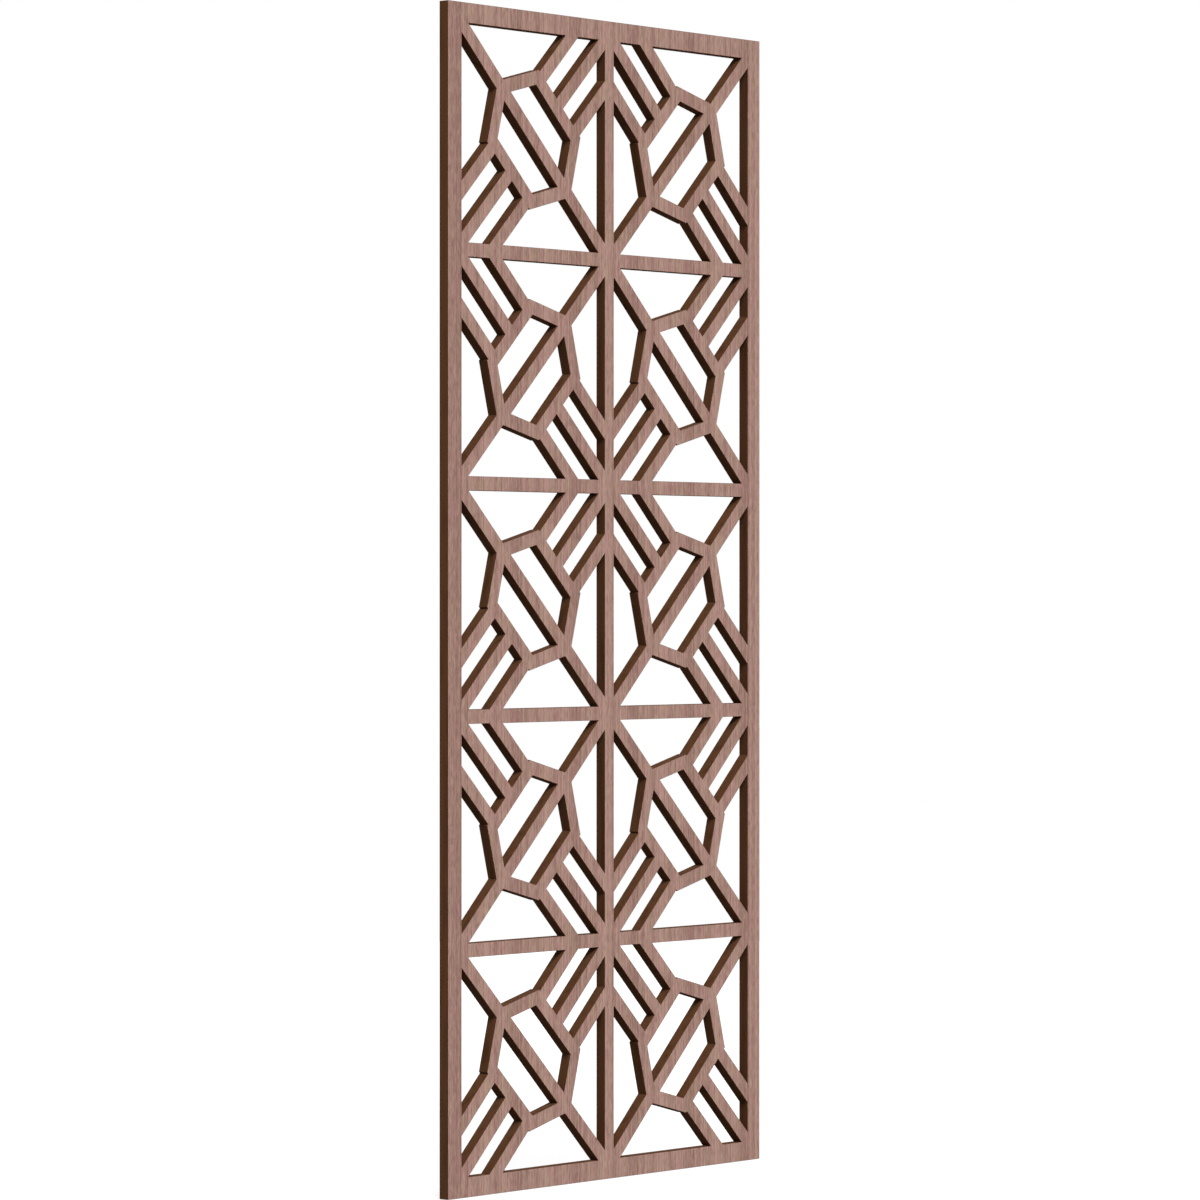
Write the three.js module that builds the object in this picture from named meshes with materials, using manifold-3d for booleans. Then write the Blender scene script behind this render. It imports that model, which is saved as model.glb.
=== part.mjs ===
// A screen panel: one walnut board pierced with a mirrored lattice of square tiles inside a plain border.
// Millimetres, +Z up. The panel stands upright and faces -Y, with its origin at the centre of its back face.
import * as THREE from "three";
import { mergeVertices } from "three/addons/utils/BufferGeometryUtils.js";
import Module from "manifold-3d";

const wasm = await Module();
wasm.setup();

// The board
const PANEL_WIDTH = 406.4;
const THICKNESS = 9.5;
const BORDER_WIDTH = 16.7;
const COLUMNS = 2;
const ROWS = 5;

// The lattice of one tile. Every bar has the same width, the rails and the mullion between tiles included.
// Lengths run from the tile's centre to the middle of a bar: "along" the tile's main diagonal, or "across" it.
const BAR_WIDTH = 11.8;
const HEXAGON_TIP_ALONG = 57.75;
const HEXAGON_SHOULDER_ALONG = 34.2;
const HEXAGON_SIDE_ACROSS = 39.9;
const STRIP_SPACING_ALONG = 30.05;

// How far each cutter reaches past the board's two faces
const CUT_REACH = 2;

// Finish of the face veneer
const WALNUT_COLOUR = 0xa48276;
const WALNUT_ROUGHNESS = 0.55;

// Sizes that follow from the ones above
const HALF_BAR = BAR_WIDTH / 2;
const TILE_PITCH = (PANEL_WIDTH - 2 * BORDER_WIDTH + BAR_WIDTH) / COLUMNS;
const HALF_TILE_OPENING = (TILE_PITCH - BAR_WIDTH) / 2;
const PANEL_HEIGHT = ROWS * TILE_PITCH - BAR_WIDTH + 2 * BORDER_WIDTH;

// A straight edge in a tile's plane: it passes through a point and has a normal, both as (along, across).
function edge(point, normal) {
  const unit = normal.clone().normalize();
  return { unit, offset: unit.dot(point) };
}

const edgeAtAlong = (along) => edge(new THREE.Vector2(along, 0), new THREE.Vector2(1, 0));
const edgeAtAcross = (across) => edge(new THREE.Vector2(0, across), new THREE.Vector2(0, 1));

// The same edge moved along its normal.
const shifted = ({ unit, offset }, distance) => ({ unit, offset: offset + distance });

// The edge's reflection that swaps the two ends of the main diagonal.
const flippedAlong = ({ unit, offset }) => ({ unit: new THREE.Vector2(-unit.x, unit.y), offset });

// The point where two edges cross.
function corner(first, second) {
  const [a, b] = [first.unit, second.unit];
  return new THREE.Vector2(
    first.offset * b.y - second.offset * a.y,
    second.offset * a.x - first.offset * b.x,
  ).divideScalar(a.cross(b));
}

// A closed outline whose sides lie on these edges, taken in order.
function outline(...edges) {
  return edges.map((side, i) => corner(side, edges[(i + 1) % edges.length]));
}

// The edges of one quarter of a tile: the quarter where along and across are both positive.
const diagonalBarSide = edgeAtAcross(HALF_BAR);
const tileSide = edge(new THREE.Vector2(HALF_TILE_OPENING * Math.SQRT2, 0), new THREE.Vector2(1, 1));
const hexagonLongSide = edgeAtAcross(HEXAGON_SIDE_ACROSS);
const hexagonTip = new THREE.Vector2(HEXAGON_TIP_ALONG, 0);
const hexagonShortSide = edge(
  hexagonTip,
  new THREE.Vector2(HEXAGON_SIDE_ACROSS, HEXAGON_TIP_ALONG - HEXAGON_SHOULDER_ALONG),
);
const middleStripSide = edgeAtAlong(HALF_BAR);
const outerStrip = edgeAtAlong(STRIP_SPACING_ALONG);

// The large opening between a tile's side, the diagonal bar and the hexagon.
// Its step at the shoulder is the hexagon's mitred corner, which stands a little proud of the strip.
const sideOpening = outline(
  diagonalBarSide,
  tileSide,
  shifted(outerStrip, HALF_BAR),
  shifted(hexagonLongSide, HALF_BAR),
  shifted(hexagonShortSide, HALF_BAR),
);

// The slot between the middle strip and an outer strip.
const stripSlot = outline(
  middleStripSide,
  tileSide,
  shifted(outerStrip, -HALF_BAR),
  shifted(hexagonLongSide, HALF_BAR),
);

// The slot inside the hexagon, on one side of the diagonal bar.
const hexagonSlot = outline(
  diagonalBarSide,
  shifted(hexagonShortSide, -HALF_BAR),
  shifted(hexagonLongSide, -HALF_BAR),
  flippedAlong(shifted(hexagonShortSide, -HALF_BAR)),
);

// Copies of an outline, reflected in the tile's diagonals.
function mirrored(points, alongSigns, acrossSigns) {
  return alongSigns.flatMap((alongSign) =>
    acrossSigns.map((acrossSign) => points.map((p) => new THREE.Vector2(p.x * alongSign, p.y * acrossSign))),
  );
}

const tileOpenings = [
  ...mirrored(sideOpening, [1, -1], [1, -1]),
  ...mirrored(stripSlot, [1, -1], [1, -1]),
  ...mirrored(hexagonSlot, [1], [1, -1]),
];

// An opening placed in its tile on the panel. Neighbouring tiles mirror each other, and the first one,
// at the top left, has its main diagonal from its top left corner to its bottom right corner.
function placeOpening(points, row, column) {
  const centreX = (column - (COLUMNS - 1) / 2) * TILE_PITCH;
  const centreZ = ((ROWS - 1) / 2 - row) * TILE_PITCH;
  const side = (row + column) % 2 === 0 ? 1 : -1;
  return points.map(({ x: along, y: across }) => {
    const right = (along + across) / Math.SQRT2;
    const up = (across - along) / Math.SQRT2;
    return new THREE.Vector2(centreX + side * right, centreZ + up);
  });
}

// A closed geometry as a solid that can be cut.
function toSolid(geometry) {
  geometry.deleteAttribute("normal");
  geometry.deleteAttribute("uv");
  const merged = mergeVertices(geometry);
  return new wasm.Manifold(
    new wasm.Mesh({
      numProp: 3,
      vertProperties: Float32Array.from(merged.getAttribute("position").array),
      triVerts: Uint32Array.from(merged.getIndex().array),
    }),
  );
}

// A solid as a flat shaded geometry.
function toGeometry(solid) {
  const { vertProperties, triVerts } = solid.getMesh();
  const shared = new THREE.BufferGeometry();
  shared.setAttribute("position", new THREE.BufferAttribute(vertProperties, 3));
  shared.setIndex(new THREE.BufferAttribute(triVerts, 1));
  const geometry = shared.toNonIndexed();
  geometry.computeVertexNormals();
  return geometry;
}

// The uncut board, with its back face on the plane Y = 0.
function makeBoard() {
  const geometry = new THREE.BoxGeometry(PANEL_WIDTH, THICKNESS, PANEL_HEIGHT);
  geometry.translate(0, -THICKNESS / 2, 0);
  return toSolid(geometry);
}

// A cutter for one opening. Its outline is drawn in XY, and a quarter turn about X stands it up.
function makeCutter(points) {
  const depth = THICKNESS + 2 * CUT_REACH;
  const geometry = new THREE.ExtrudeGeometry(new THREE.Shape(points), { depth, bevelEnabled: false });
  geometry.rotateX(Math.PI / 2);
  geometry.translate(0, CUT_REACH, 0);
  return toSolid(geometry);
}

function makePanel() {
  let solid = makeBoard();
  for (let row = 0; row < ROWS; row++) {
    for (let column = 0; column < COLUMNS; column++) {
      for (const opening of tileOpenings) {
        solid = solid.subtract(makeCutter(placeOpening(opening, row, column)));
      }
    }
  }
  const walnut = new THREE.MeshStandardMaterial({
    color: WALNUT_COLOUR,
    roughness: WALNUT_ROUGHNESS,
    metalness: 0,
  });
  const panel = new THREE.Mesh(toGeometry(solid), walnut);
  panel.name = "fretwork_panel";
  return panel;
}

const screen = new THREE.Group();
screen.add(makePanel());

export default screen;
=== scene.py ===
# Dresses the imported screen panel: a pierced walnut board with upright grain and dark cut edges.
# Metres, +Z up. The panel stands upright, faces -Y and has its origin at the centre of its back face.
import math

import bmesh
import bpy
from bpy.props import FloatProperty, FloatVectorProperty, IntProperty, PointerProperty
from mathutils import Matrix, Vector
from mathutils.geometry import delaunay_2d_cdt


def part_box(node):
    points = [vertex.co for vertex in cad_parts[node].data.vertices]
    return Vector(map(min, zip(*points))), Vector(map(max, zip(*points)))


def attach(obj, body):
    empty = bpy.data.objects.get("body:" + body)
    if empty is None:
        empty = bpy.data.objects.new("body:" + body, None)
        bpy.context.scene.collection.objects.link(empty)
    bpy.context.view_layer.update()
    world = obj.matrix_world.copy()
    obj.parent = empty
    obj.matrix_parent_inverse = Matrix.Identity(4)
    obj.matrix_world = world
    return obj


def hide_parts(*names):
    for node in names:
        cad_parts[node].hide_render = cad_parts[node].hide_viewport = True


bl_info = {
    "name": "Pierced walnut screen panel",
    "version": (1, 0, 0),
    "blender": (4, 5, 0),
    "location": "3D View > Sidebar > Screen panel",
    "description": "Builds a pierced walnut screen panel and the studio that it is shown in",
    "category": "Object",
}

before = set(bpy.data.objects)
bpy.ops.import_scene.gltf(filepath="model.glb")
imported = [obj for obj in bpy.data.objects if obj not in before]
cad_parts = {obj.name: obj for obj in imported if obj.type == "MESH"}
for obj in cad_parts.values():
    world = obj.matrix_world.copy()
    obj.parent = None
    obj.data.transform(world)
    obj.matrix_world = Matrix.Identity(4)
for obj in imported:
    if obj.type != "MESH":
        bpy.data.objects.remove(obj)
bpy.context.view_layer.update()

PANEL_NODE = "fretwork_panel"
PANEL_BODY = "root"
panel_low, panel_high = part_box(PANEL_NODE)

# The image's width, and how far left of its middle the panel's near edge stands, in pixels
IMAGE_PIXELS = 1200
NEAR_EDGE_PIXELS = 152


# Settings

class BoardSettings(bpy.types.PropertyGroup):
    """Sizes of the board and of its lattice"""

    width: FloatProperty(
        name="Width",
        description="Width of the board",
        default=panel_high[0] - panel_low[0],
        subtype="DISTANCE",
        unit="LENGTH",
    )
    thickness: FloatProperty(
        name="Thickness",
        description="Thickness of the board",
        default=panel_high[1] - panel_low[1],
        subtype="DISTANCE",
        unit="LENGTH",
    )
    border: FloatProperty(
        name="Border",
        description="Width of the plain border round the lattice",
        default=0.0167,
        subtype="DISTANCE",
        unit="LENGTH",
    )
    bar: FloatProperty(
        name="Bar",
        description="Width of every bar of the lattice",
        default=0.0118,
        subtype="DISTANCE",
        unit="LENGTH",
    )
    columns: IntProperty(name="Columns", description="Tiles side by side", default=2, min=1)
    rows: IntProperty(name="Rows", description="Tiles one above the other", default=5, min=1)
    hexagon_tip: FloatProperty(
        name="Hexagon tip",
        description="From the tile's centre to the hexagon's tip, along the main diagonal",
        default=0.05775,
        subtype="DISTANCE",
        unit="LENGTH",
    )
    hexagon_shoulder: FloatProperty(
        name="Hexagon shoulder",
        description="From the tile's centre to the hexagon's shoulder, along the main diagonal",
        default=0.0342,
        subtype="DISTANCE",
        unit="LENGTH",
    )
    hexagon_side: FloatProperty(
        name="Hexagon side",
        description="From the tile's centre to the hexagon's long side, across the main diagonal",
        default=0.0399,
        subtype="DISTANCE",
        unit="LENGTH",
    )
    strip_spacing: FloatProperty(
        name="Strip spacing",
        description="From one of the parallel strips to the next",
        default=0.03005,
        subtype="DISTANCE",
        unit="LENGTH",
    )
    arris: FloatProperty(
        name="Arris",
        description="Radius to which the sharp edges are eased",
        default=0.00025,
        subtype="DISTANCE",
        unit="LENGTH",
    )
    arris_steps: IntProperty(
        name="Arris steps",
        description="Facets across an eased edge",
        default=3,
        min=1,
    )


class FinishSettings(bpy.types.PropertyGroup):
    """Colours and grain of the walnut"""

    heartwood: FloatVectorProperty(
        name="Heartwood",
        description="Darkest tone of the face",
        default=(0.246, 0.1317, 0.1070),
        size=3,
        min=0,
        max=1,
        subtype="COLOR",
    )
    flame: FloatVectorProperty(
        name="Flame",
        description="Lightest tone of the face",
        default=(0.461, 0.286, 0.2337),
        size=3,
        min=0,
        max=1,
        subtype="COLOR",
    )
    cut_edge: FloatVectorProperty(
        name="Cut edge",
        description="Tone of the cut edges",
        default=(0.0866, 0.0374, 0.0172),
        size=3,
        min=0,
        max=1,
        subtype="COLOR",
    )
    scorch: FloatVectorProperty(
        name="Scorch",
        description="Darkest tone of the cut edges",
        default=(0.0640, 0.0268, 0.0120),
        size=3,
        min=0,
        max=1,
        subtype="COLOR",
    )
    streak_width: FloatProperty(
        name="Streak width",
        description="Width of a fine streak of grain",
        default=0.0010,
        subtype="DISTANCE",
        unit="LENGTH",
    )
    streak_length: FloatProperty(
        name="Streak length",
        description="Length of a fine streak of grain",
        default=4.0,
        subtype="DISTANCE",
        unit="LENGTH",
    )
    band_width: FloatProperty(
        name="Band width",
        description="Width of a broad band of lighter or darker grain",
        default=0.010,
        subtype="DISTANCE",
        unit="LENGTH",
    )
    band_length: FloatProperty(
        name="Band length",
        description="Length of a broad band of grain",
        default=5.0,
        subtype="DISTANCE",
        unit="LENGTH",
    )
    pale_width: FloatProperty(
        name="Pale streak width",
        description="Width of the few pale streaks",
        default=0.0016,
        subtype="DISTANCE",
        unit="LENGTH",
    )
    pale_length: FloatProperty(
        name="Pale streak length",
        description="Length of the few pale streaks",
        default=0.03,
        subtype="DISTANCE",
        unit="LENGTH",
    )
    fleck_width: FloatProperty(
        name="Fleck width",
        description="Width of the short flecks in the grain",
        default=0.0009,
        subtype="DISTANCE",
        unit="LENGTH",
    )
    fleck_length: FloatProperty(
        name="Fleck length",
        description="Length of the short flecks in the grain",
        default=0.006,
        subtype="DISTANCE",
        unit="LENGTH",
    )
    pore_width: FloatProperty(
        name="Pore width",
        description="Width of the open pores",
        default=0.0005,
        subtype="DISTANCE",
        unit="LENGTH",
    )
    pore_length: FloatProperty(
        name="Pore length",
        description="Length of the open pores",
        default=0.008,
        subtype="DISTANCE",
        unit="LENGTH",
    )
    tint_width: FloatProperty(
        name="Tint width",
        description="Width of the patches where the face turns rosy or tawny",
        default=0.003,
        subtype="DISTANCE",
        unit="LENGTH",
    )
    tint_length: FloatProperty(
        name="Tint length",
        description="Length of the patches where the face turns rosy or tawny",
        default=0.03,
        subtype="DISTANCE",
        unit="LENGTH",
    )
    scorch_width: FloatProperty(
        name="Scorch width",
        description="Width of the darker patches on the cut edges",
        default=0.006,
        subtype="DISTANCE",
        unit="LENGTH",
    )
    scorch_length: FloatProperty(
        name="Scorch length",
        description="Length of the darker patches on the cut edges",
        default=0.05,
        subtype="DISTANCE",
        unit="LENGTH",
    )
    leaf_width: FloatProperty(
        name="Leaf width",
        description="Width of the veneer leaves, which lie side by side and repeat one figure",
        default=0.0750,
        subtype="DISTANCE",
        unit="LENGTH",
    )
    first_joint: FloatProperty(
        name="First joint",
        description="From the board's left side to its first joint between two leaves",
        default=0.0089,
        subtype="DISTANCE",
        unit="LENGTH",
    )
    joint_shade: FloatProperty(
        name="Joint shade",
        description="How far the darker band reaches on either side of a joint",
        default=0.0098,
        subtype="DISTANCE",
        unit="LENGTH",
    )


class StudioSettings(bpy.types.PropertyGroup):
    """Camera, lights and floor"""

    yaw: FloatProperty(
        name="Yaw",
        description="How far the camera stands round to the panel's left",
        default=math.radians(49.29),
        subtype="ANGLE",
        unit="ROTATION",
    )
    lens: FloatProperty(
        name="Lens",
        description="Focal length in millimetres",
        default=152.0,
        unit="CAMERA",
    )
    edge_offset: FloatProperty(
        name="Edge offset",
        description="From the frame's middle to the panel's near edge, as a share of the frame",
        default=NEAR_EDGE_PIXELS / IMAGE_PIXELS,
        subtype="FACTOR",
    )
    key_strength: FloatProperty(
        name="Key light",
        description="Strength of the main light, from the upper left front",
        default=3.68,
    )
    back_strength: FloatProperty(
        name="Back light",
        description="Strength of the light from behind, on the right",
        default=2.3,
    )
    side_strength: FloatProperty(
        name="Side light",
        description="Strength of the light that skims the panel from its left",
        default=0.8,
    )
    surround: FloatProperty(
        name="Surround",
        description="Strength of the light from all round",
        default=0.3,
    )
    floor_radius: FloatProperty(
        name="Floor radius",
        description="Radius of the floor",
        default=3.0,
        subtype="DISTANCE",
        unit="LENGTH",
    )


# The lattice's outlines, as points (along, across) of a tile: along its main diagonal, and across it

def edge(point, normal):
    """A straight edge through a point, with its normal."""
    unit = Vector(normal).normalized()
    return unit, unit.dot(Vector(point))


def shifted(line, distance):
    """The same edge moved along its normal."""
    unit, offset = line
    return unit, offset + distance


def flipped_along(line):
    """The edge's reflection that swaps the two ends of the main diagonal."""
    unit, offset = line
    return Vector((-unit.x, unit.y)), offset


def crossing(first, second):
    """The point where two edges cross."""
    (a, p), (b, q) = first, second
    return Vector((p * b.y - q * a.y, q * a.x - p * b.x)) / (a.x * b.y - a.y * b.x)


def outline(*lines):
    """A closed outline whose sides lie on these edges, taken in order."""
    return [crossing(line, lines[(i + 1) % len(lines)]) for i, line in enumerate(lines)]


def tile_openings(board, half_opening):
    """The outlines of one tile's openings, about the tile's centre."""
    half_bar = board.bar / 2
    diagonal_side = edge((0, half_bar), (0, 1))
    tile_side = edge((half_opening * math.sqrt(2), 0), (1, 1))
    long_side = edge((0, board.hexagon_side), (0, 1))
    slope = (board.hexagon_side, board.hexagon_tip - board.hexagon_shoulder)
    short_side = edge((board.hexagon_tip, 0), slope)
    middle_strip_side = edge((half_bar, 0), (1, 0))
    outer_strip = edge((board.strip_spacing, 0), (1, 0))
    side_opening = outline(
        diagonal_side,
        tile_side,
        shifted(outer_strip, half_bar),
        shifted(long_side, half_bar),
        shifted(short_side, half_bar),
    )
    strip_slot = outline(
        middle_strip_side,
        tile_side,
        shifted(outer_strip, -half_bar),
        shifted(long_side, half_bar),
    )
    hexagon_slot = outline(
        diagonal_side,
        shifted(short_side, -half_bar),
        shifted(long_side, -half_bar),
        flipped_along(shifted(short_side, -half_bar)),
    )
    openings = []
    for across_sign in (1, -1):
        for along_sign in (1, -1):
            for points in (side_opening, strip_slot):
                openings.append([Vector((p.x * along_sign, p.y * across_sign)) for p in points])
        openings.append([Vector((p.x, p.y * across_sign)) for p in hexagon_slot])
    return openings


def counter_clockwise(points):
    """The points of a closed outline, in counter-clockwise order."""
    area = sum(p.x * q.y - p.y * q.x for p, q in zip(points, points[1:] + points[:1]))
    return points if area > 0 else points[::-1]


def placed_in_tile(points, centre, side):
    """A tile's outline as points (x, z) of the panel. Neighbouring tiles have opposite sides, 1 and -1."""
    return [centre + Vector((side * (p.x + p.y), p.y - p.x)) / math.sqrt(2) for p in points]


def panel_outlines(board):
    """The board's outline, and the outlines of all its openings, as points (x, z)."""
    pitch = (board.width - 2 * board.border + board.bar) / board.columns
    half_opening = (pitch - board.bar) / 2
    height = board.rows * pitch - board.bar + 2 * board.border
    corners = ((-1, -1), (1, -1), (1, 1), (-1, 1))
    board_outline = [Vector((x * board.width / 2, z * height / 2)) for x, z in corners]
    openings = []
    for row in range(board.rows):
        for column in range(board.columns):
            tiles_right = column - (board.columns - 1) / 2
            tiles_up = (board.rows - 1) / 2 - row
            centre = Vector((tiles_right * pitch, tiles_up * pitch))
            side = 1 if (row + column) % 2 == 0 else -1
            for points in tile_openings(board, half_opening):
                openings.append(counter_clockwise(placed_in_tile(points, centre, side)))
    return board_outline, openings


def widened(points, distance):
    """A counter-clockwise outline with each side moved outwards."""
    moved = []
    count = len(points)
    for i, point in enumerate(points):
        before = (point - points[i - 1]).normalized()
        after = (points[(i + 1) % count] - point).normalized()
        normal_before = Vector((before.y, -before.x))
        normal_after = Vector((after.y, -after.x))
        reach = distance / (1 + normal_before.dot(normal_after))
        moved.append(point + (normal_before + normal_after) * reach)
    return moved


# The panel's mesh

FACE_SLOT = 0
EDGE_SLOT = 1

# How a pierced face is filled: valid polygons inside the outline, with its holes left open
FILL_WITH_HOLES = 5
SAME_POINT_DISTANCE = 1e-7


def arris_profile(board):
    """How a cut edge runs from the front to the back: (inset into the face, y) at each step."""
    radius = board.arris
    front = []
    for step in range(board.arris_steps + 1):
        turn = math.pi / 2 * step / board.arris_steps
        inset = radius * (1 - math.sin(turn))
        depth = radius * (1 - math.cos(turn))
        front.append((inset, depth - board.thickness))
    back = [(inset, -board.thickness - y) for inset, y in reversed(front)]
    return front + back


def add_cut_edge(mesh, points, profile, outwards):
    """Adds the wall along one outline, with its eased edges, and gives its rings of vertices."""
    rings = []
    for inset, y in profile:
        ring_points = widened(points, inset if outwards else -inset)
        rings.append([mesh.verts.new((p.x, y, p.y)) for p in ring_points])
    count = len(points)
    wall_step = len(profile) // 2 - 1
    for step, (near, far) in enumerate(zip(rings, rings[1:])):
        for i in range(count):
            j = (i + 1) % count
            corners = [near[i], near[j], far[j], far[i]]
            face = mesh.faces.new(corners if outwards else corners[::-1])
            face.material_index = EDGE_SLOT
            face.smooth = step != wall_step
    return rings


def add_pierced_face(mesh, loops, towards_front):
    """Fills the flat face between the board's ring and the rings of its openings."""
    corners = [vert for loop in loops for vert in loop]
    outlines = []
    first = 0
    for loop in loops:
        outlines.append(list(range(first, first + len(loop))))
        first += len(loop)
    points = [Vector((vert.co.x, vert.co.z)) for vert in corners]
    filled = delaunay_2d_cdt(points, [], outlines, FILL_WITH_HOLES, SAME_POINT_DISTANCE)
    _, _, polygons, sources, _, _ = filled
    if any(len(source) == 0 for source in sources):
        raise RuntimeError("the face of the board has an outline that crosses another")
    for polygon in polygons:
        ring = [corners[sources[k][0]] for k in polygon]
        face = mesh.faces.new(ring if towards_front else ring[::-1])
        face.material_index = FACE_SLOT
        face.smooth = False


def build_panel_mesh(board):
    """The whole board as one closed mesh."""
    board_outline, openings = panel_outlines(board)
    profile = arris_profile(board)
    mesh = bmesh.new()
    rings = [add_cut_edge(mesh, board_outline, profile, False)]
    rings += [add_cut_edge(mesh, opening, profile, True) for opening in openings]
    add_pierced_face(mesh, [ring[0] for ring in rings], True)
    add_pierced_face(mesh, [ring[-1] for ring in rings], False)
    loose = [e for e in mesh.edges if len(e.link_faces) != 2]
    if loose:
        raise RuntimeError("the board is not closed at %d edges" % len(loose))
    data = bpy.data.meshes.new("fretwork_panel_mesh")
    mesh.to_mesh(data)
    mesh.free()
    return data


# Shader nodes

# Sockets of a mix node that mixes colours
MIX_FACTOR = 0
MIX_FIRST = 6
MIX_SECOND = 7
MIX_RESULT = 2

# The value about which a layer of grain swings
LAYER_MIDDLE = 0.5


def add_node(tree, kind, sockets=None, **settings):
    """Adds a node, sets its properties, and sets or links its input sockets."""
    node = tree.nodes.new(kind)
    for name, value in settings.items():
        setattr(node, name, value)
    for key, value in (sockets or {}).items():
        socket = node.inputs[key]
        if isinstance(value, bpy.types.NodeSocket):
            tree.links.new(value, socket)
        else:
            socket.default_value = value
    return node


def calculate(tree, operation, first, second=0.0, third=0.0):
    """A math node's result."""
    sockets = {0: first, 1: second, 2: third}
    return add_node(tree, "ShaderNodeMath", sockets, operation=operation).outputs[0]


def add_up(tree, base, layers):
    """A base value, plus each layer's swing about its middle times the layer's weight."""
    total = base
    for layer, weight in layers:
        swing = calculate(tree, "SUBTRACT", layer, LAYER_MIDDLE)
        total = calculate(tree, "MULTIPLY_ADD", swing, weight, total)
    return total


def remap(tree, value, low, high, to_low=0.0, to_high=1.0):
    """A value moved smoothly from one range to another."""
    sockets = {"Value": value, "From Min": low, "From Max": high, "To Min": to_low, "To Max": to_high}
    node = add_node(tree, "ShaderNodeMapRange", sockets, interpolation_type="SMOOTHSTEP")
    return node.outputs["Result"]


def mix_colours(tree, factor, first, second, blend="MIX"):
    """Two colours mixed."""
    sockets = {MIX_FACTOR: factor, MIX_FIRST: first, MIX_SECOND: second}
    node = add_node(tree, "ShaderNodeMix", sockets, data_type="RGBA", blend_type=blend)
    return node.outputs[MIX_RESULT]


def object_axes(tree):
    """The place on the board, as its X, Y and Z."""
    coordinates = add_node(tree, "ShaderNodeTexCoord").outputs["Object"]
    return add_node(tree, "ShaderNodeSeparateXYZ", {"Vector": coordinates}).outputs


def opaque(colour):
    """A colour with its alpha."""
    return (*colour, 1.0)


def new_group(name, inputs, outputs):
    """An empty shader node group with named sockets, and its input and output nodes."""
    group = bpy.data.node_groups.new(name, "ShaderNodeTree")
    for socket, value in inputs.items():
        made = group.interface.new_socket(name=socket, in_out="INPUT", socket_type="NodeSocketFloat")
        made.default_value = value
    for socket in outputs:
        group.interface.new_socket(name=socket, in_out="OUTPUT", socket_type="NodeSocketFloat")
    return group, group.nodes.new("NodeGroupInput"), group.nodes.new("NodeGroupOutput")


def make_streaks_group():
    """Upright streaks in the wood: a value about 0.5 that changes fast across the grain and slowly along it.

    The streaks start again at each joint, so one leaf of veneer repeats the next. The default leaf is far
    wider than the board, so that a layer without leaves never repeats.
    """
    inputs = {"Width": 0.002, "Length": 0.5, "Detail": 1.0, "Leaf": 10.0, "Joint": -5.0, "Start": 0.0}
    group, given, result = new_group("upright_streaks", inputs, ["Streak"])
    width, length, detail, leaf, joint, start = (given.outputs[name] for name in inputs)
    axes = object_axes(group)
    from_joint = calculate(group, "WRAP", calculate(group, "SUBTRACT", axes["X"], joint), leaf, 0.0)
    across = calculate(group, "ADD", calculate(group, "DIVIDE", from_joint, width), start)
    depth = calculate(group, "DIVIDE", axes["Y"], width)
    along = calculate(group, "DIVIDE", axes["Z"], length)
    grain = add_node(group, "ShaderNodeCombineXYZ", {"X": across, "Y": depth, "Z": along}).outputs[0]
    noise = add_node(group, "ShaderNodeTexNoise", {"Vector": grain, "Scale": 1.0, "Detail": detail})
    group.links.new(noise.outputs["Fac"], result.inputs["Streak"])
    return group


def streaks(tree, group, **values):
    """One layer of upright streaks."""
    node = add_node(tree, "ShaderNodeGroup", node_tree=group)
    for name, value in values.items():
        node.inputs[name].default_value = value
    return node.outputs["Streak"]


def new_material(name):
    """A material with an empty node tree, its shader and its output."""
    material = bpy.data.materials.new(name)
    material.use_nodes = True
    tree = material.node_tree
    tree.nodes.clear()
    shader = add_node(tree, "ShaderNodeBsdfPrincipled")
    output = add_node(tree, "ShaderNodeOutputMaterial")
    tree.links.new(shader.outputs["BSDF"], output.inputs["Surface"])
    return material, tree, shader


# The walnut's finish

# Where each layer of streaks starts in the noise, as a seed does. The first two were picked by trial
# against the photograph, so that light and dark streaks fall about where the board there has them.
FINE_START = 55.75
BAND_START = 208.75
PALE_START = 7.3
FLECK_START = 0.0
PORE_START = 2.3
TINT_START = 5.7
SCORCH_START = 3.1

# Where in a layer's range each feature starts to show, and where it is at full strength.
# The tint goes from rosy to tawny.
PALE_RANGE = (0.62, 0.74)
PORE_RANGE = (0.62, 0.70)
TINT_RANGE = (0.35, 0.65)
SCORCH_RANGE = (0.55, 0.25)

# The face's tone runs from heartwood at 0 to flame at 1: its middle, and the weight of each layer in it
MIDDLE_TONE = 0.572
FINE_TONE = 1.6
BAND_TONE = 0.78
FLECK_TONE = 1.55
PALE_TONE = 0.3
SHADE_TONE = -0.27
PORE_TONE = -0.10

# What the two tints do to the face's colour
ROSY = (1.027, 0.967, 1.027, 1.0)
TAWNY = (0.973, 1.033, 0.967, 1.0)

# The satin face: its roughness, its gloss, and how its grain stands up
FACE_ROUGHNESS = 0.56
FINE_ROUGHNESS = -0.2
PORE_ROUGHNESS = 0.1
FACE_GLOSS = 0.3
FACE_BUMP = 0.12
MIDDLE_HEIGHT = 0.5
FINE_HEIGHT = 0.6
FLECK_HEIGHT = 0.4
PORE_HEIGHT = -0.8
GRAIN_DEPTH = 0.0002

# The dull cut edge: its patches, the roughness over their range, its gloss and its bump
SCORCH_DETAIL = 2.0
EDGE_LAYER_RANGE = (0.2, 0.8)
EDGE_ROUGHNESS = (0.9, 0.8)
EDGE_GLOSS = 0.01
EDGE_BUMP = 0.05


def add_bump(tree, shader, strength, height):
    """Makes the grain stand up by a height, where a change of 1 is the grain's depth."""
    sockets = {"Strength": strength, "Distance": GRAIN_DEPTH, "Height": height}
    bump = add_node(tree, "ShaderNodeBump", sockets)
    tree.links.new(bump.outputs["Normal"], shader.inputs["Normal"])


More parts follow.
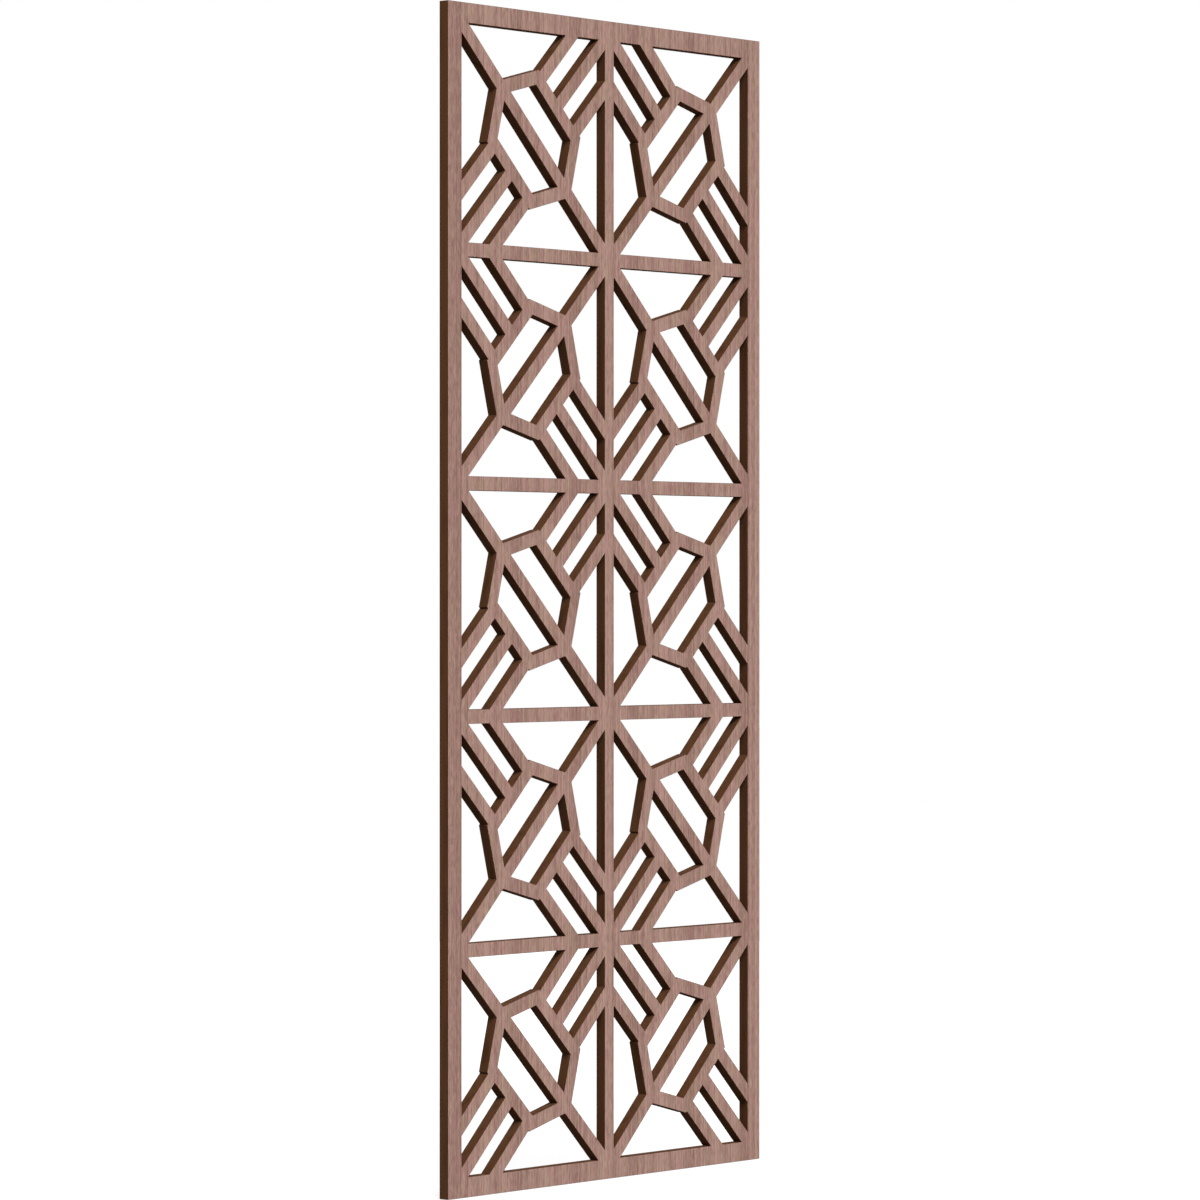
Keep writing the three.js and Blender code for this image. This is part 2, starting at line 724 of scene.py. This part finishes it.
def joint_shade(tree, finish, joint):
    """A mask of the darker band along the joints between the leaves."""
    from_first = calculate(tree, "SUBTRACT", object_axes(tree)["X"], joint)
    to_nearest = calculate(tree, "PINGPONG", from_first, finish.leaf_width / 2)
    return remap(tree, to_nearest, finish.joint_shade, finish.joint_shade / 2)


def make_face_material(finish, group):
    """Satin walnut veneer: leaves side by side, with upright grain, short flecks and open pores."""
    material, tree, shader = new_material("walnut_face")
    joint = panel_low[0] + finish.first_joint
    leaf = {"Leaf": finish.leaf_width, "Joint": joint}

    def layer(width, length, start, **more):
        """One layer of the face's grain."""
        return streaks(tree, group, Width=width, Length=length, Start=start, **more)

    fine = layer(finish.streak_width, finish.streak_length, FINE_START, **leaf)
    bands = layer(finish.band_width, finish.band_length, BAND_START, **leaf)
    pale = remap(tree, layer(finish.pale_width, finish.pale_length, PALE_START, **leaf), *PALE_RANGE)
    flecks = layer(finish.fleck_width, finish.fleck_length, FLECK_START)
    pores = remap(tree, layer(finish.pore_width, finish.pore_length, PORE_START), *PORE_RANGE)
    tint = remap(tree, layer(finish.tint_width, finish.tint_length, TINT_START), *TINT_RANGE)
    shade = joint_shade(tree, finish, joint)

    tone_layers = [
        (fine, FINE_TONE),
        (bands, BAND_TONE),
        (flecks, FLECK_TONE),
        (pale, PALE_TONE),
        (shade, SHADE_TONE),
        (pores, PORE_TONE),
    ]
    tone = add_up(tree, MIDDLE_TONE, tone_layers)
    colour = mix_colours(tree, tone, opaque(finish.heartwood), opaque(finish.flame))
    tinted = mix_colours(tree, 1.0, colour, mix_colours(tree, tint, ROSY, TAWNY), "MULTIPLY")
    tree.links.new(tinted, shader.inputs["Base Color"])
    roughness = add_up(tree, FACE_ROUGHNESS, [(fine, FINE_ROUGHNESS), (pores, PORE_ROUGHNESS)])
    tree.links.new(roughness, shader.inputs["Roughness"])
    height_layers = [(fine, FINE_HEIGHT), (flecks, FLECK_HEIGHT), (pores, PORE_HEIGHT)]
    add_bump(tree, shader, FACE_BUMP, add_up(tree, MIDDLE_HEIGHT, height_layers))
    shader.inputs["Specular IOR Level"].default_value = FACE_GLOSS
    return material


def make_edge_material(finish, group):
    """Dark, dull cut edge with faint darker patches."""
    material, tree, shader = new_material("walnut_cut_edge")
    patches = streaks(
        tree,
        group,
        Width=finish.scorch_width,
        Length=finish.scorch_length,
        Detail=SCORCH_DETAIL,
        Start=SCORCH_START,
    )
    scorched = remap(tree, patches, *SCORCH_RANGE)
    colour = mix_colours(tree, scorched, opaque(finish.cut_edge), opaque(finish.scorch))
    tree.links.new(colour, shader.inputs["Base Color"])
    roughness = remap(tree, patches, *EDGE_LAYER_RANGE, *EDGE_ROUGHNESS)
    tree.links.new(roughness, shader.inputs["Roughness"])
    add_bump(tree, shader, EDGE_BUMP, patches)
    shader.inputs["Specular IOR Level"].default_value = EDGE_GLOSS
    return material


# The stage

WHITE = (1.0, 1.0, 1.0, 1.0)

# The floor is grey under the lights and glows, so that it looks white with faint shadows
FLOOR_GREY = (0.35, 0.35, 0.35, 1.0)
FLOOR_GLOW = 0.75
FLOOR_ROUGHNESS = 0.9
FLOOR_SIDES = 96
FLOOR_GAP = 0.0005

# Where the lights come from, and how broad they are
KEY_FROM = (-0.30, -0.60, 0.74)
BACK_FROM = (0.35, 0.90, 0.25)
SIDE_FROM = (-1.0, 0.0, 0.0)
LIGHT_DISTANCE = 4.0
WIDE = math.radians(30)
NARROW = math.radians(10)

# The camera's sensor in millimetres, and how far it sees in metres
SENSOR_WIDTH = 36.0
VIEW_REACH = 100.0


def add_floor(studio, level):
    """A plain pale floor under the panel."""
    mesh = bmesh.new()
    bmesh.ops.create_circle(mesh, cap_ends=True, segments=FLOOR_SIDES, radius=studio.floor_radius)
    data = bpy.data.meshes.new("floor_mesh")
    mesh.to_mesh(data)
    mesh.free()
    floor = bpy.data.objects.new("floor", data)
    floor.location = (0, 0, level)
    floor.visible_diffuse = False
    floor.visible_glossy = False
    bpy.context.scene.collection.objects.link(floor)
    material, _, shader = new_material("pale_floor")
    shader.inputs["Base Color"].default_value = FLOOR_GREY
    shader.inputs["Roughness"].default_value = FLOOR_ROUGHNESS
    shader.inputs["Specular IOR Level"].default_value = 0.0
    shader.inputs["Emission Color"].default_value = WHITE
    shader.inputs["Emission Strength"].default_value = FLOOR_GLOW
    data.materials.append(material)


def add_soft_light(name, strength, spread, towards_light):
    """A broad distant light that comes from one direction."""
    lamp = bpy.data.lights.new(name, "SUN")
    lamp.energy = strength
    lamp.angle = spread
    light = bpy.data.objects.new(name, lamp)
    direction = Vector(towards_light).normalized()
    light.location = direction * LIGHT_DISTANCE
    light.rotation_mode = "QUATERNION"
    light.rotation_quaternion = (-direction).to_track_quat("-Z", "Y")
    bpy.context.scene.collection.objects.link(light)


def make_white_world(studio):
    """A white surround for the camera, and a dimmer one for the surfaces."""
    scene = bpy.context.scene
    world = bpy.data.worlds.new("white_surround")
    scene.world = world
    world.use_nodes = True
    tree = world.node_tree
    tree.nodes.clear()
    seen = add_node(tree, "ShaderNodeLightPath").outputs["Is Camera Ray"]
    range_sockets = {"Value": seen, "To Min": studio.surround, "To Max": 1.0}
    strength = add_node(tree, "ShaderNodeMapRange", range_sockets).outputs["Result"]
    surround = add_node(tree, "ShaderNodeBackground", {"Color": WHITE, "Strength": strength})
    output = add_node(tree, "ShaderNodeOutputWorld")
    tree.links.new(surround.outputs[0], output.inputs["Surface"])
    scene.view_settings.view_transform = "Standard"


def add_camera(studio):
    """A camera level with the panel's middle, whose near upright edge fills the frame's height."""
    low, high = Vector(panel_low), Vector(panel_high)
    height = high.z - low.z
    right = Vector((math.cos(studio.yaw), -math.sin(studio.yaw), 0))
    forward = Vector((math.sin(studio.yaw), math.cos(studio.yaw), 0))
    data = bpy.data.cameras.new("camera")
    data.lens = studio.lens
    data.sensor_width = SENSOR_WIDTH
    data.clip_end = VIEW_REACH
    near_edge = Vector((low.x, low.y, (low.z + high.z) / 2))
    camera = bpy.data.objects.new("camera", data)
    distance = height * studio.lens / SENSOR_WIDTH
    camera.location = near_edge + right * studio.edge_offset * height - forward * distance
    camera.rotation_mode = "QUATERNION"
    camera.rotation_quaternion = forward.to_track_quat("-Z", "Y")
    bpy.context.scene.collection.objects.link(camera)
    bpy.context.scene.camera = camera


# Operators, one for the board and one for the stage

class SCREEN_OT_board(bpy.types.Operator):
    """Builds the pierced board"""

    bl_idname = "screen_panel.board"
    bl_label = "Build the board"

    def execute(self, context):
        board = context.scene.screen_board
        finish = context.scene.screen_finish
        data = build_panel_mesh(board)
        group = make_streaks_group()
        data.materials.append(make_face_material(finish, group))
        data.materials.append(make_edge_material(finish, group))
        panel = bpy.data.objects.new("pierced_walnut_board", data)
        context.scene.collection.objects.link(panel)
        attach(panel, PANEL_BODY)
        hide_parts(PANEL_NODE)
        return {"FINISHED"}


class SCREEN_OT_stage(bpy.types.Operator):
    """Builds the floor, the lights and the camera"""

    bl_idname = "screen_panel.stage"
    bl_label = "Build the stage"

    def execute(self, context):
        studio = context.scene.screen_studio
        add_floor(studio, panel_low[2] - FLOOR_GAP)
        add_soft_light("key_light", studio.key_strength, WIDE, KEY_FROM)
        add_soft_light("back_light", studio.back_strength, WIDE, BACK_FROM)
        add_soft_light("side_light", studio.side_strength, NARROW, SIDE_FROM)
        make_white_world(studio)
        add_camera(studio)
        return {"FINISHED"}


class SCREEN_PT_sidebar(bpy.types.Panel):
    """Lists the steps that build the screen panel"""

    bl_label = "Screen panel"
    bl_space_type = "VIEW_3D"
    bl_region_type = "UI"
    bl_category = "Screen panel"

    def draw(self, context):
        scene = context.scene
        for settings in (scene.screen_board, scene.screen_finish, scene.screen_studio):
            box = self.layout.box()
            for name in settings.__annotations__:
                box.prop(settings, name)
        for operator in (SCREEN_OT_board, SCREEN_OT_stage):
            self.layout.operator(operator.bl_idname)


CLASSES = (
    BoardSettings,
    FinishSettings,
    StudioSettings,
    SCREEN_OT_board,
    SCREEN_OT_stage,
    SCREEN_PT_sidebar,
)


def register():
    for made in CLASSES:
        bpy.utils.register_class(made)
    bpy.types.Scene.screen_board = PointerProperty(type=BoardSettings)
    bpy.types.Scene.screen_finish = PointerProperty(type=FinishSettings)
    bpy.types.Scene.screen_studio = PointerProperty(type=StudioSettings)


def unregister():
    del bpy.types.Scene.screen_studio
    del bpy.types.Scene.screen_finish
    del bpy.types.Scene.screen_board
    for made in reversed(CLASSES):
        bpy.utils.unregister_class(made)


def main():
    register()
    bpy.ops.screen_panel.board()
    bpy.ops.screen_panel.stage()


if __name__ == "__main__":
    main()
